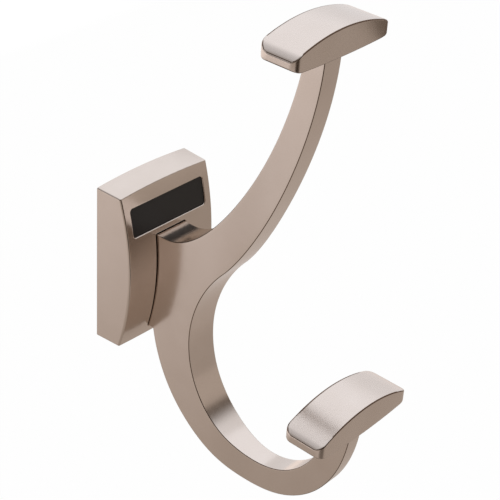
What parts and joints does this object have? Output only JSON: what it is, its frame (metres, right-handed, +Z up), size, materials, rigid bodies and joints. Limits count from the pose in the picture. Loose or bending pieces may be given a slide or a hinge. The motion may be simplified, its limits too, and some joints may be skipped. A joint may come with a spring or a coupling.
{
  "type": "coat hook",
  "caption": "Double coat hook: a bowed wall plate with a dark inset carries one upright arm and one J-shaped arm, each ending in a short crossbar.",
  "frame": {"origin": "middle of the base plate's back, on the wall face", "axes": "+Z up, +Y into the wall, so the hook stands out along -Y; +X to the right seen from the front"},
  "size_m": [0.0348, 0.0787, 0.1365],
  "materials": {
    "satin_nickel": "satin nickel plated zinc casting",
    "black_plastic": "matte black",
    "zinc_plated_steel": "bright zinc plated"
  },
  "bodies": {
    "root": {"base_plate": "satin_nickel", "inset_panel": "black_plastic", "hook_arms": "satin_nickel", "wall_bracket": "zinc_plated_steel", "set_screw": "zinc_plated_steel", "foot_screw_1": "zinc_plated_steel", "foot_screw_2": "zinc_plated_steel"}
  },
  "joints": []
}
